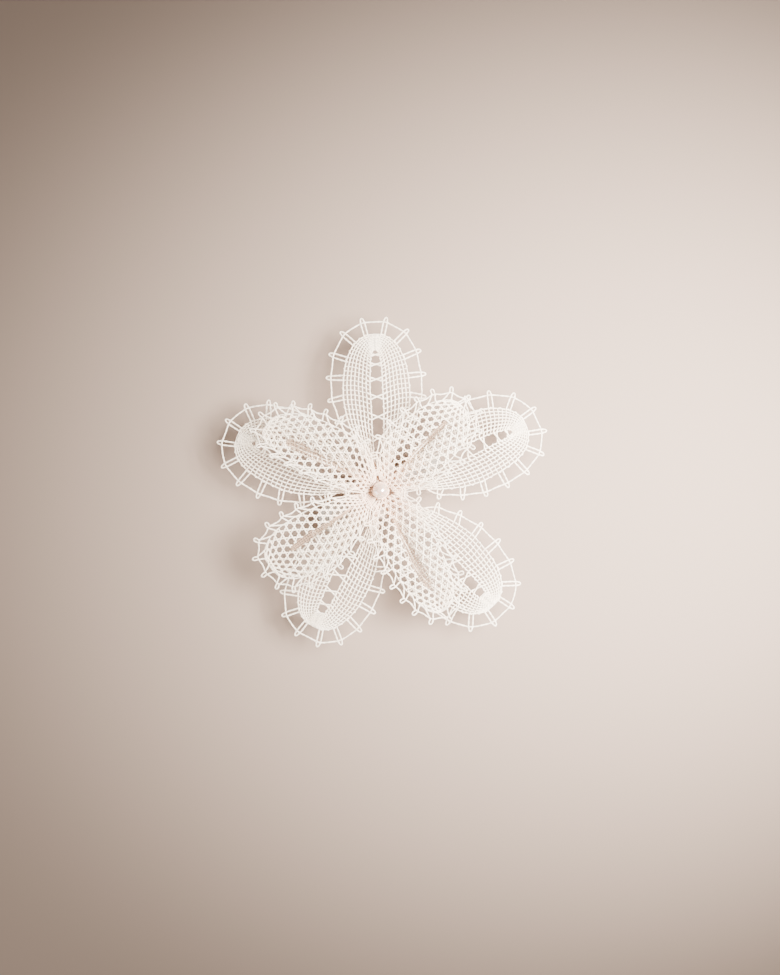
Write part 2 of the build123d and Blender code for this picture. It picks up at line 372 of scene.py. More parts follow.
# the last figure is how strongly the painted warm shade shows at the flower's middle
laceThread = makeThreadMaterial("ivoryLinenThread", linenLook, 0.75)
shadedVeinThread = makeThreadMaterial("ecruLinenThread", veinShadeLook, 0.6)
sewingThread = makeThreadMaterial("sewingThread", linenLook, 0.85)
woolFelt = makeFeltMaterial()
clipSteel = makeSteelMaterial("nickelSteel", (0.70, 0.67, 0.63), 0.3)
springSteel = makeSteelMaterial("springWire", (0.52, 0.51, 0.50), 0.34)
champagnePearl = makePearlMaterial()
print("materials made")


# a line of points becomes a thread: an oval tube that turns along its length; sizes in mm
threadLook = {
    "flatness": 0.19,      # how far its section is from round
    "twistPitch": 3.0,     # for one full turn
    "sides": 8,
    "fine": 0.26,          # for the threads woven to and fro
    "warp": 0.36,          # for the threads that run the length of a petal
    "pair": 0.45,          # for borders and loops, which are worked double
    "net": 0.42,
    "vein": 0.22,
    "sewing": 0.36,
}


def makePlyProfile(name, thickness):
    curve = bpy.data.curves.new(name, "CURVE")
    ring = curve.splines.new("POLY")
    sides = threadLook["sides"]
    ring.points.add(sides - 1)
    for number in range(sides):
        angle = -2 * math.pi * number / sides
        reach = thickness / 2 * (1 + threadLook["flatness"] * math.cos(2 * angle)) * mm
        ring.points[number].co = (reach * math.cos(angle), reach * math.sin(angle), 0, 1)
    ring.use_cyclic_u = True
    profile = newObject(name, curve)
    profile.hide_render = True
    return profile


finePly = makePlyProfile("finePly", threadLook["fine"])
warpPly = makePlyProfile("warpPly", threadLook["warp"])
pairPly = makePlyProfile("pairPly", threadLook["pair"])
netPly = makePlyProfile("netPly", threadLook["net"])
veinPly = makePlyProfile("veinPly", threadLook["vein"])


# lines: (points in metres, closed), each point a Vector
def layThreads(name, lines, material, profile, twistMode="Z_UP"):
    curve = bpy.data.curves.new(name, "CURVE")
    curve.dimensions = "3D"
    curve.bevel_mode = "OBJECT"
    curve.bevel_object = profile
    curve.use_fill_caps = True
    curve.twist_mode = twistMode
    for points, closed in lines:
        spline = curve.splines.new("POLY")
        spline.points.add(len(points) - 1)
        travelled = 0.0
        for number, point in enumerate(points):
            if number:
                travelled += (point - points[number - 1]).length
            spline.points[number].co = (*point, 1)
            spline.points[number].tilt = 2 * math.pi * travelled / (threadLook["twistPitch"] * mm)
        spline.use_cyclic_u = closed
        spline.use_smooth = True
    piece = curveToMesh(name, curve)
    weld(1e-7)  # joins each thread's end caps to its sides
    piece.data.materials.clear()
    piece.data.materials.append(material)
    return piece


def joinPieces(pieces, name):
    deselectAll()
    for piece in pieces:
        piece.select_set(True)
    bpy.context.view_layer.objects.active = pieces[0]
    bpy.ops.object.join()
    pieces[0].name = name
    return pieces[0]


def softLine(corners, step):  # a smooth line through a few corners, in even short steps
    points = []
    last = len(corners) - 1
    for number in range(last):
        before = corners[max(number - 1, 0)]
        start = corners[number]
        end = corners[number + 1]
        after = corners[min(number + 2, last)]
        pieces = max(1, round((Vector(end) - Vector(start)).length / step))
        for part in range(pieces):
            t = part / pieces
            weights = (
                -0.5 * t + t * t - 0.5 * t**3,
                1 - 2.5 * t * t + 1.5 * t**3,
                0.5 * t + 2 * t * t - 1.5 * t**3,
                -0.5 * t * t + 0.5 * t**3,
            )
            blended = zip(weights, (before, start, end, after))
            points.append(sum((Vector(corner) * weight for weight, corner in blended), Vector((0, 0, 0))))
    points.append(Vector(corners[last]))
    return points


# places on a petal are (out, side, lift) in mm

handwork = {
    "wander": 0.22,          # how far the threads stray from the pattern
    "wanderSize": 7,
    "ripple": 0.4,           # how unevenly a petal lies
    "rippleSize": 14,
    "rippleStart": 20,
    "foldWidth": 2.5,
    "valleyMargin": 0.5,
}


def petalPlace(petal, out, side, lift):
    size = handwork["wanderSize"]
    drift = Vector((out / size, side / size, petal["seed"]))
    out += handwork["wander"] * noise.noise(drift)
    side += handwork["wander"] * noise.noise(drift + Vector((0, 0, 31)))
    arch = petal["archRadius"]
    bend = (petal["left"] if side > 0 else petal["right"])[3]
    height = padTop + petal["crestRise"] - arch + math.sqrt(arch**2 - (out - petal["crest"]) ** 2)
    height += bend * (1 - math.cos(side / bend)) + petal.get("lift", 0)
    height += petal.get("foldDepth", 0) * (0.5 - math.exp(-abs(side) / handwork["foldWidth"]))
    if "vein" in petal:  # the vein lies in a valley
        reach = (out / petal["length"] - petal["veinStart"]) / (petal["veinEnd"] - petal["veinStart"])
        depth = petal["veinDepth"] * math.sin(math.pi * min(max(reach, 0), 1)) ** 0.7
        height -= depth * math.exp(-((side / (petal["vein"] + handwork["valleyMargin"])) ** 2))
    size = handwork["rippleSize"]
    ripple = handwork["ripple"] * noise.noise(Vector((out / size, side / size, petal["seed"] + 7)))
    height += ripple * smooth(out / handwork["rippleStart"])
    side = bend * math.sin(side / bend) + petal.get("curve", 0) * (out / petal["length"]) ** 2
    heading = math.radians(petal["heading"])
    along = Vector((math.cos(heading), math.sin(heading), 0))
    across = Vector((-math.sin(heading), math.cos(heading), 0))
    return (along * out + across * side + Vector((0, 0, height + lift))) * mm


outline = {"stemEnd": 0.05, "stemWidth": 0.06, "tipPower": 2.3}


# half width from 0 to 1 at a share of the length; a low fullness is a petal that widens soon
def petalShape(share, widest, fullness):
    share = min(max(share, 0.0), 1.0)
    if share < widest:
        reach = max(share - outline["stemEnd"], 0) / (widest - outline["stemEnd"])
        return outline["stemWidth"] + (1 - outline["stemWidth"]) * math.sin(math.pi / 2 * reach**fullness)
    return (1 - ((share - widest) / (1 - widest)) ** outline["tipPower"]) ** (1 / outline["tipPower"])


# the edge in even steps, from root to tip
def walkEdge(start, length, halfWidth, widest, fullness, parts=240):
    rough = []
    for number in range(parts * 3 + 1):
        out = length - (length - start) * (1 - number / (parts * 3)) ** 2
        rough.append(Vector((out, halfWidth * petalShape(out / length, widest, fullness), 0)))
    rough[-1] = Vector((length, 0, 0))
    return evenSteps(rough, parts)


def evenSteps(rough, parts):
    travelled = [0.0]
    for number in range(1, len(rough)):
        travelled.append(travelled[-1] + (rough[number] - rough[number - 1]).length)
    even = []
    place = 0
    for number in range(parts + 1):
        target = travelled[-1] * number / parts
        while place < len(rough) - 2 and travelled[place + 1] < target:
            place += 1
        gap = max(travelled[place + 1] - travelled[place], 1e-9)
        even.append(rough[place].lerp(rough[place + 1], (target - travelled[place]) / gap))
    return even


def edgeAt(edge, share):
    place = min(max(share, 0.0), 1.0) * (len(edge) - 1)
    number = min(int(place), len(edge) - 2)
    return edge[number].lerp(edge[number + 1], place - number)


def edgeOutward(edge, share):  # which way is out of the petal at this place of its edge
    run = edgeAt(edge, share + 0.01) - edgeAt(edge, share - 0.01)
    return Vector((-run.y, run.x, 0)).normalized() if run.length > 0 else Vector((1, 0, 0))


outerLace = {
    "passives": 8,           # threads that run the length of each half
    "picots": 8,             # loops on each side
    "rowsPerPicot": 4,
    "borderGap": 3.9,        # mm from the cloth to the border thread
    "picotReach": 1.6,       # mm from the border thread to the loop's tip
    "firstRow": 0.08,        # share of the length where the weaving starts
    "rootStart": 2.5,
    "widest": 0.62,
    "fullness": 1.1,
    "ladderHalfWidth": 2.0,
    "ladderSlant": 1.2,      # above 1 the rows crowd towards the tip
    "ladderTip": 4.8,        # mm from the ladder's end to the cloth's tip
    "rowBow": 0.5,           # mm that each row bows outwards
    "stemBundle": 0.22,      # mm that the threads of the stem lie over each other
    "weave": 0.15,           # mm that a thread rises and dips where it crosses others
    "loopFoot": (0.2, 0.62), # mm inside the border, and to each side, where a loop's legs cross it
    "loopShape": ((0.45, 0.5), (0.8, 0.4), (1.0, 0.02)),  # share of the reach, half width in mm
    "loopStep": 0.26,
    "crossingLift": 0.3,
    "crossingOverlap": 0.004,
    "flatShare": 0.68,       # declared flat area over width times length; the outline's own is 0.67
    "patchTurns": 12,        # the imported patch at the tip
    "patchLength": 4.6,
    "patchStep": 0.38,
    "patchHalfWidth": 1.9,
    "crest": 29.0,
    "crestRise": 3.5,
    "archRadius": 109.0,
    "left": (0, 0, 0, -45.0),    # the sides droop; negative bends down
    "right": (0, 0, 0, -45.0),
}
outerPetals = {
    "petal_top": {"heading": 92.2, "length": 52.0, "halfWidth": 14.2, "seed": 1.3},
    "petal_upper_right": {"heading": 25.8, "length": 53.0, "halfWidth": 14.4, "seed": 5.7, "curve": -1.6},
    "petal_lower_right": {
        "heading": -46.0,
        "length": 53.5,
        "halfWidth": 14.6,
        "seed": 9.1,
        "curve": 0.5,
        "ladderTip": 2.4,
    },
    "petal_bottom": {"heading": -116.2, "length": 50.5, "halfWidth": 14.0, "seed": 14.2, "ladderTip": 3.2},
    "petal_left": {"heading": 159.5, "length": 51.0, "halfWidth": 14.2, "seed": 18.8},
}


def outerPetalLines(petal):
    lace = outerLace
    gap = lace["borderGap"]
    root = lace["rootStart"]
    shape = (lace["widest"], lace["fullness"])
    cloth = walkEdge(root, petal["length"] - gap, petal["halfWidth"] - gap, *shape)
    border = walkEdge(root, petal["length"], petal["halfWidth"], *shape)
    ladderEnd = petal["length"] - gap - petal["ladderTip"]
    last = lace["passives"] - 1
    rows = lace["picots"] * lace["rowsPerPicot"]

    def rowShare(row):
        return lace["firstRow"] + (1 - lace["firstRow"]) * (row + 0.5) / rows

    # for even shares of the border, the share of the cloth's edge that faces it squarely
    facing = [0.0]
    for number in range(1, 61):
        square = edgeAt(border, number / 60) - edgeOutward(border, number / 60) * gap
        tries = [facing[-1] + step * 0.002 for step in range(60)]
        facing.append(min(tries, key=lambda share: (edgeAt(cloth, share) - square).length))
    facing = [min(share / facing[-1], 1) for share in facing]

    def clothEdge(share):
        place = min(max(share, 0), 0.9999) * 60
        low = facing[int(place)]
        return edgeAt(cloth, low + (facing[int(place) + 1] - low) * (place % 1))

    def clothPoint(share, passive):
        inner = root + (ladderEnd - root) * math.sin(math.pi / 2 * min(share, 1) ** lace["ladderSlant"])
        ladder = lace["ladderHalfWidth"] * math.sin(math.pi * min(max(share, 0.02), 0.98)) ** 0.6
        edge = clothEdge(share)
        ladder = min(ladder, 0.3 + 0.3 * edge.y)
        part = passive / last
        bow = lace["rowBow"] * math.sin(math.pi * min(max(part, 0), 1))
        out = inner + (edge.x - inner) * part + bow
        return out, ladder + (edge.y - ladder) * part

    def passiveLine(side, passive):
        line = []
        start = -0.5
        stemSteps = 14
        bundle = lace["stemBundle"] * ((passive % 3) - 1)
        for step in range(stemSteps):
            share = rowShare(start) * step / stemSteps
            out, across = clothPoint(share, passive)
            line.append((out, side * across, bundle * (1 - step / stemSteps)))
        for step in range(rows * 4 + 1):
            row = start + step / 4
            out, across = clothPoint(rowShare(row), passive)
            lift = -lace["weave"] * (-1) ** passive * math.cos(math.pi * row)
            line.append((out, side * across, lift))
        return line

    def innerTurn(side, row):
        out, across = clothPoint((rowShare(row) + rowShare(row + 1)) / 2, 0)
        return [(out, side * (across - 0.25), 0)]

    def crossing(side, row):  # where a pair passes from one half to the other
        lift = lace["crossingLift"]
        start = clothPoint(rowShare(row) - lace["crossingOverlap"], 1)
        end = clothPoint(rowShare(row + 1) + lace["crossingOverlap"], 1)
        first = clothPoint(rowShare(row), 0)
        second = clothPoint(rowShare(row + 1), 0)
        middle = (first[0] + second[0]) / 2
        corners = [
            (start[0], side * start[1], lift),
            (first[0], side * first[1], lift),
            (middle, 0, 0.16 * side),
            (second[0], -side * second[1], lift),
            (end[0], -side * end[1], lift),
        ]
        return softLine(corners, 0.3)

    def picotLoop(side, row):
        first, second = rowShare(row), rowShare(row + 1)
        middle = (first + second) / 2
        outward = edgeOutward(border, middle)
        run = Vector((outward.y, -outward.x, 0))
        base = edgeAt(border, middle)
        reach = lace["picotReach"]
        depth, foot = lace["loopFoot"]
        corners = [clothEdge(first), base - outward * depth - run * foot]
        for height, half in lace["loopShape"]:
            corners.append(base + outward * reach * height - run * half)
        for height, half in reversed(lace["loopShape"][:-1]):
            corners.append(base + outward * reach * height + run * half)
        corners += [base - outward * depth + run * foot, clothEdge(second)]
        return [(point.x, side * point.y, 0.0) for point in softLine(corners, lace["loopStep"])]

    def weftLine(side):
        line = []
        for row in range(rows):
            inward = row % 2 == 0
            for step in range(last * 4 + 1):
                passive = last - step / 4 if inward else step / 4
                out, across = clothPoint(rowShare(row), passive)
                lift = lace["weave"] * math.cos(math.pi * passive) * (-1) ** row
                line.append((out, side * across, lift))
            if row == rows - 1:
                break
            if inward:
                line += innerTurn(side, row)
            else:
                share = (rowShare(row) + rowShare(row + 1)) / 2
                turn = clothEdge(share) + edgeOutward(border, share) * 0.3
                line.append((turn.x, side * turn.y, 0))
        return line

    def borderLine():
        stops = [clothEdge(rowShare(3))]
        for picot in range(1, lace["picots"]):
            share = rowShare(picot * lace["rowsPerPicot"] + 1.5)
            if picot > 1:
                between = share - (1 - lace["firstRow"]) / lace["picots"] / 2
                stops.append(edgeAt(border, between) - edgeOutward(border, between) * 0.1)
            stops.append(edgeAt(border, share) + edgeOutward(border, share) * 0.12)
        right = [Vector((stop.x, -stop.y, 0)) for stop in stops]
        corners = right + [Vector((petal["length"] - 0.1, 0, 0))] + list(reversed(stops))
        return [(p.x, p.y, 0.2 * math.sin(n * 0.9)) for n, p in enumerate(softLine(corners, 0.5))]

    def tipPatch():  # where the petal was begun, packed tight
        line = []
        tip = petal["length"] - gap
        turns = lace["patchTurns"]
        for row in range(turns):
            out = tip - lace["patchLength"] + row * lace["patchStep"]
            half = lace["patchHalfWidth"] * math.sin(math.pi * (row + 1.2) / (turns + 1.4)) ** 0.5
            order = (1, -1) if row % 2 else (-1, 1)
            for step in range(13):
                across = half * (order[0] + (order[1] - order[0]) * step / 12)
                line.append((out, across, 0.25 + 0.12 * math.cos(step * math.pi / 2 + row * math.pi)))
        return line

    heavy = [borderLine()]
    fine = [tipPatch()]
    warp = []
    for side in (1, -1):
        fine.append(weftLine(side))
        warp += [passiveLine(side, passive) for passive in range(lace["passives"])]
        heavy += [picotLoop(side, picot * 4 + 1) for picot in range(1, lace["picots"])]
        heavy += [crossing(side, picot * 4 + 2) for picot in range(1, lace["picots"] - 1)]
    return {"fine": (fine, finePly), "warp": (warp, warpPly), "heavy": (heavy, pairPly)}


def makePetal(name, petal, threads):
    pieces = []
    for kind, (lines, profile) in threads.items():
        placed = [([petalPlace(petal, *point) for point in line], False) for line in lines]
        # the vein's threads carry painted shade in their colour
        material = shadedVeinThread if kind == "vein" else laceThread
        pieces.append(layThreads(name + kind, placed, material, profile))
    piece = joinPieces(pieces, name.replace("petal", "lace"))
    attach(piece, flowerBody)
    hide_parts(name)
    triangles = sum(len(face.vertices) - 2 for face in piece.data.polygons)
    print(name, sum(len(lines) for lines, profile in threads.values()), "threads,", triangles, "triangles")
    return piece


for name, sizes in outerPetals.items():
    petal = {**outerLace, **sizes}
    makePetal(name, petal, outerPetalLines(petal))

innerLace = {
    "mesh": 2.25,            # mm between the net's parallel threads where the petal is widest
    "rootStart": 2.5,
    "picotSpacing": 5.4,
    "picotReach": 1.75,
    "loopShape": ((0, -0.5), (0.5, -0.5), (0.85, -0.4), (1.0, 0), (0.85, 0.4), (0.5, 0.5), (0, 0.5)),
    "borderInset": 1.8,      # mm from the loops' tips in to the border thread
    "netInset": 4.0,         # mm from the loops' tips in to the net's edge
    "weave": 0.19,
    "veinStart": 0.22,
    "veinEnd": 0.74,
    "veinDepth": 2.2,
    "rungSpacing": 0.8,
    "crest": 38.0,
    "crestRise": 6.2,
    "archRadius": 143.0,
    "foldDepth": 1.2,
    "fineStep": 0.28,
    "rowStep": 0.16,
    "railStep": 0.4,
    "narrowest": 0.13,       # how far the net can be drawn together, as a share of its full width
    "flatShare": 0.72,       # one figure for all four; the outlines' own are 0.68 to 0.79
}
# each side: half width, share of the length where it is widest, fullness, bend radius (mm)
innerPetals = {
    "inner_petal_upper_left": {
        "heading": 152.0,
        "length": 44.5,
        "left": (9.5, 0.6, 0.6, 7.0),
        "right": (15.2, 0.45, 0.8, 30.0),
        "vein": 1.5,
        "lift": 0.5,
        "seed": 22.4,
    },
    "inner_petal_lower_left": {
        "heading": 212.0,
        "length": 45.0,
        "left": (14.8, 0.62, 1.0, 30.0),
        "right": (11.6, 0.72, 1.0, 30.0),
        "vein": 1.0,
        "curve": 1.2,
        "seed": 27.9,
    },
    "inner_petal_lower_right": {
        "heading": -65.0,
        "length": 45.5,
        "left": (12.8, 0.55, 0.4, 28.0),
        "right": (11.4, 0.45, 0.5, 24.0),
        "vein": 1.5,
        "curve": 1.8,
        "lift": 0.3,
        "seed": 33.6,
    },
    "inner_petal_upper_right": {
        "heading": 47.0,
        "length": 40.0,
        "left": (13.8, 0.42, 0.75, 28.0),
        "right": (13.2, 0.55, 0.6, 30.0),
        "vein": 0.8,
        "curve": -0.8,
        "lift": 0.15,
        "seed": 38.1,
    },
}


def innerPetalLines(petal):
    lace = innerLace
    root = lace["rootStart"]
    net = lace["netInset"]
    length = petal["length"]
    sides = {1: petal["left"], -1: petal["right"]}
    widest = max(side[0] for side in sides.values()) - net

    def spread(out, side):
        return petalShape(out / (length - net), sides[side][1], sides[side][2])

    def veinHalf(out):
        share = (out / length - lace["veinStart"]) / (lace["veinEnd"] - lace["veinStart"])
        if not 0 < share < 1:
            return 0
        return 0.25 + (petal["vein"] - 0.25) * math.sin(math.pi * share**2.4) ** 0.6

    # stops[i] is how far out the net's row height i/20 mesh lies, closer together towards the root
    stops = [root]
    while stops[-1] < length:
        drawn = (spread(stops[-1], 1) + spread(stops[-1], -1)) / 2
        stops.append(stops[-1] + lace["mesh"] / 20 * max(0.4, drawn) ** 0.75)

    def outAt(height):
        place = min(max(height / lace["mesh"] * 20, 0), len(stops) - 1.001)
        return stops[int(place)] + (stops[int(place) + 1] - stops[int(place)]) * (place % 1)

    def netPoint(x, height, lift):
        out = outAt(height)
        return out, x * max(spread(out, 1 if x > 0 else -1), lace["narrowest"]), lift

    def inside(out, across):
        side = 1 if across > 0 else -1
        half = (sides[side][0] - net) * spread(out, side)
        return root < out < length - net and veinHalf(out) <= abs(across) <= half

    def keepInside(line):
        runs, run = [], []
        for point in line + [(0, 0, 0)]:
            if inside(point[0], point[1]):
                run.append(point)
                continue
            if len(run) > 5:
                runs.append(run)
            run = []
        return runs

    mesh = lace["mesh"]
    slope = math.sqrt(3)
    top = len(stops) / 20 * mesh
    weave = lace["weave"]
    lines = []
    steps = int(2 * widest / lace["rowStep"])
    for row in range(1, int(top / mesh) + 1):
        height = row * mesh
        line = []
        for step in range(steps + 1):
            x = -widest + step * lace["rowStep"]
            line.append(netPoint(x, height, weave * math.cos(math.pi * (slope * x - height) / mesh)))
        lines += keepInside(line)
    reach = int((slope * widest + top) / (2 * mesh)) + 2
    for number in range(-reach, reach + 1):
        for leaning in (1, -1):
            shift = 2 * mesh * number + (mesh if leaning < 0 else 0)
            line = []
            for step in range(int(top / lace["fineStep"])):
                height = step * lace["fineStep"]
                x = (shift + leaning * height) / slope
                lift = -leaning * weave * math.cos(2 * math.pi * height / mesh)
                if abs(x) <= widest:
                    line.append(netPoint(x, height, lift))
            lines += keepInside(line)

    # the vein: four long threads and close rungs across them
    vein = []
    out = length * lace["veinStart"]
    while out < length * lace["veinEnd"]:
        half = veinHalf(out)
        if half > 0.4:
            places = [half * (step / 4 - 1) for step in range(9)]
            vein.append([(out, place, 0.1 * math.cos(place * 8)) for place in places])
        out += lace["rungSpacing"]
    railSteps = int((length * lace["veinEnd"] - root) / lace["railStep"])
    for rail in (-1, -1 / 3, 1 / 3, 1):
        outs = [root + step * lace["railStep"] for step in range(railSteps + 1)]
        vein.append([(out, rail * max(veinHalf(out), 0.2), 0.1 * math.cos(out * 3 + rail)) for out in outs])

    # the edge: a thread round the net, a border thread, and loops that stand on both
    def wholeEdge(inset):
        halves = {}
        for side, (half, wide, fullness, bend) in sides.items():
            edge = walkEdge(root, length - inset, half - inset, wide, fullness)
            halves[side] = [Vector((point.x, side * point.y, 0)) for point in edge]
        rough = halves[-1] + list(reversed(halves[1]))[1:]
        return evenSteps(rough, 480)

    netEdge, border = wholeEdge(net), wholeEdge(lace["borderInset"])
    around = sum((border[n] - border[n - 1]).length for n in range(1, len(border)))
    points = 2 * round(around / lace["picotSpacing"] / 2) + 1
    rim = [(point.x, point.y, 0.12 * math.cos(n * 0.8)) for n, point in enumerate(netEdge[::3])]
    corners = []
    for number in range(points * 2 + 1):
        point = edgeAt(border, number / (points * 2))
        corners.append(point if number % 2 else point.lerp(edgeAt(netEdge, number / (points * 2)), 0.22))
    lines.append([(p.x, p.y, 0.1 * math.sin(n)) for n, p in enumerate(softLine(corners, 0.5))])
    zigzag = []
    for number in range(points):
        middle = (number + 0.5) / points
        base = edgeAt(border, middle)
        run = (edgeAt(border, middle + 0.01) - edgeAt(border, middle - 0.01)).normalized()
        outward = Vector((run.y, -run.x, 0))
        reach = lace["picotReach"]
        zigzag.append(edgeAt(netEdge, middle - 0.3 / points))
        for height, half in lace["loopShape"]:
            zigzag.append(base + outward * reach * height + run * half)
        zigzag.append(edgeAt(netEdge, middle + 0.3 / points))
    lines.append([(p.x, p.y, 0.08) for p in softLine(zigzag, 0.3)])
    return {"net": (lines, netPly), "rim": ([rim], finePly), "vein": (vein, veinPly)}


for name, sizes in innerPetals.items():
    petal = {**innerLace, **sizes}
    makePetal(name, petal, innerPetalLines(petal))
print("lace made")


pearl = {
    "radius": (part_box("pearl_bead")[1].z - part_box("pearl_bead")[0].z) / 2,
    "centre": (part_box("pearl_bead")[0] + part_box("pearl_bead")[1]) / 2,
    "boreRadius": 0.4 * mm,
    "boreEdge": 0.00008,
}


def makePearl():
    bpy.ops.mesh.primitive_uv_sphere_add(
        segments=48,
        ring_count=24,
        radius=pearl["radius"],
        location=pearl["centre"],
        rotation=(0, math.pi / 2, 0),
    )
    piece = bpy.context.active_object
    piece.name = "pearlBead"
    bpy.ops.object.transform_apply(location=False, rotation=True, scale=False)
    bpy.ops.object.mode_set(mode="EDIT")
    bpy.ops.mesh.select_all(action="DESELECT")
    bpy.ops.object.mode_set(mode="OBJECT")
    for vertex in piece.data.vertices:  # the two poles and the ring round each, where it is drilled
        vertex.select = math.hypot(vertex.co.y, vertex.co.z) < pearl["boreRadius"]
    bpy.ops.object.mode_set(mode="EDIT")
    bpy.ops.mesh.delete(type="VERT")
    bpy.ops.mesh.select_non_manifold()
    bpy.ops.mesh.bridge_edge_loops(number_cuts=3)
    bpy.ops.object.mode_set(mode="OBJECT")
    bpy.ops.object.transform_apply(location=True, rotation=False, scale=False)
    shadeSmooth(piece)
    bevel = piece.modifiers.new("boreEdge", "BEVEL")
    bevel.width = pearl["boreEdge"]
    bevel.segments = 2
    bevel.limit_method = "ANGLE"
    makeActive(piece)
    bpy.ops.object.modifier_apply(modifier="boreEdge")
    piece.data.materials.append(champagnePearl)
    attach(piece, flowerBody)
    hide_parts("pearl_bead")


makePearl()
print("pearl made")


# the bead's thread, the wound root binding and the stitches over the stems; lengths in mm
sewing = {
    "bindingRadius": 2.7,
    "bindingTurns": 6,
    "spiralTurns": 7,
    "stitchDistance": 6.0,
    "stitchHalfWidth": 2.8,
    "stitchWraps": 3,
    "stitchSpacing": 0.5,
    "stitchSink": 0.2,       # how far its ends go into the pad
    "stitchShoulder": 0.6,
}
sewingPly = makePlyProfile("sewingPly", threadLook["sewing"])


def finishSewing(piece, node):
    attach(piece, flowerBody)
    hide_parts(node)


def makeBinding():
    low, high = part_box("root_binding")
    bottom, top = low.z / mm + 0.2, high.z / mm
    line = []
    steps = 40
    for step in range(sewing["bindingTurns"] * steps):
        angle = 2 * math.pi * step / steps
        height = bottom + (top - bottom - 0.3) * step / (sewing["bindingTurns"] * steps)
        reach = sewing["bindingRadius"] - 0.2 + 0.06 * math.sin(angle * 3.3)
        line.append(Vector((reach * math.cos(angle), reach * math.sin(angle), height)) * mm)
    for step in range(sewing["spiralTurns"] * steps):
        share = step / (sewing["spiralTurns"] * steps)
        angle = 2 * math.pi * step / steps
        reach = (sewing["bindingRadius"] - 0.25) * (1 - share) + 0.1
        height = top - 0.18 + 0.1 * math.sin(angle * 2.5)
        line.append(Vector((reach * math.cos(angle), reach * math.sin(angle), height)) * mm)
    finishSewing(layThreads("rootBinding", [(line, False)], sewingThread, sewingPly), "root_binding")


def makeBeadThread():
    low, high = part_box("bead_thread")
    leg = high.x - 0.2 * mm
    bottom, middle = low.z, pearl["centre"].z
    corners = [
        (-leg * 0.85, 0, bottom),
        (-leg, 0, bottom + 0.8 * mm),
        (-leg, 0, middle - 0.6 * mm),
        (-leg + 0.5 * mm, 0, middle),
        (0, 0, middle),
        (leg - 0.5 * mm, 0, middle),
        (leg, 0, middle - 0.6 * mm),
        (leg, 0, bottom + 0.8 * mm),
        (leg * 0.85, 0, bottom),
    ]
    line = softLine(corners, 0.00025)
    finishSewing(layThreads("beadThread", [(line, False)], sewingThread, sewingPly, "MINIMUM"), "bead_thread")


def makeStemStitches():
    lines = []
    for sizes in outerPetals.values():
        heading = math.radians(sizes["heading"])
        along = Vector((math.cos(heading), math.sin(heading), 0))
        across = Vector((-math.sin(heading), math.cos(heading), 0))
        petal = {**outerLace, **sizes}
        for wrap in range(sewing["stitchWraps"]):
            out = sewing["stitchDistance"] + (wrap - 1) * sewing["stitchSpacing"]
            top = petalPlace(petal, out, 0, 0).z / mm + 0.5
            half = sewing["stitchHalfWidth"]
            end = Vector((0, 0, padTop - sewing["stitchSink"]))
            shoulder = Vector((0, 0, top - sewing["stitchShoulder"]))
            corners = [
                along * (out - 0.15) + across * -half + end,
                along * (out - 0.1) + across * -half * 0.95 + shoulder,
                along * out + across * -half * 0.5 + Vector((0, 0, top)),
                along * out + across * half * 0.5 + Vector((0, 0, top)),
                along * (out + 0.1) + across * half * 0.95 + shoulder,
                along * (out + 0.15) + across * half + end,
            ]
            lines.append(([point * mm for point in softLine(corners, 0.25)], False))
    finishSewing(layThreads("stemStitches", lines, sewingThread, sewingPly, "MINIMUM"), "stem_stitches")


makeBinding()
makeBeadThread()
makeStemStitches()
print("sewing made")


# the round pad and the strip in the jaw; lengths in metres
felt = {
    "voxel": 0.00035,
    "lump": 0.00012,
    "lumpSize": 0.0014,
    "fuzzPerPiece": 420,
    "fuzzLength": 0.0009,
    "fuzzRadius": 0.00002,
    "fuzzRoot": 0.00005,     # how deep in the felt a fibre starts
}


def makeFelt(nodeName, name, seed):
    piece = mergedCopy(nodeName, name)
    applyModifier(piece, "REMESH", mode="VOXEL", voxel_size=felt["voxel"])
    applyModifier(piece, "SMOOTH", factor=0.6, iterations=3)
    for vertex in piece.data.vertices:
        spot = vertex.co / felt["lumpSize"] + Vector((seed, 0, 0))
        vertex.co += vertex.normal * (noise.noise(spot) - 0.35) * felt["lump"]
    shadeSmooth(piece)
    addFuzz(piece, seed)
    piece.data.materials.append(woolFelt)
    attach(piece, flowerBody)
    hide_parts(nodeName)
    return piece


def addFuzz(piece, seed):  # loose fibre ends that stand up from the felt
    random.seed(seed)
    curve = bpy.data.curves.new("fuzz", "CURVE")
    curve.dimensions = "3D"
    curve.bevel_depth = felt["fuzzRadius"]
    curve.bevel_resolution = 0
    curve.use_fill_caps = True
    for vertex in random.sample(list(piece.data.vertices), felt["fuzzPerPiece"]):
        lean = Vector((random.uniform(-1, 1), random.uniform(-1, 1), random.uniform(-0.6, 0.6)))
        away = (vertex.normal + lean * 0.9).normalized()
        fibre = curve.splines.new("POLY")
        fibre.points.add(3)
        length = felt["fuzzLength"] * random.uniform(0.3, 1)
        root = vertex.co - vertex.normal * felt["fuzzRoot"]
        for number in range(4):
            share = number / 3
            bent = away * share + lean.cross(vertex.normal) * share * share * 0.5
            fibre.points[number].co = (*(root + bent * length), 1)
            fibre.points[number].radius = 1 - 0.7 * share
    fuzz = curveToMesh(piece.name + "Fuzz", curve)
    weld(1e-7, outwards=True)
    joinPieces([piece, fuzz], piece.name)


feltPad = makeFelt("felt_pad", "feltPad", 3)
makeFelt("jaw_lining", "jawLining", 11)
print("felt made")


# the jaws, the pin and the spring keep their CAD shapes; the spring is a smooth-shaded copy

def finishSteel(nodeName, material):
    node = nodes[nodeName]
    node.data.materials.clear()
    node.data.materials.append(material)


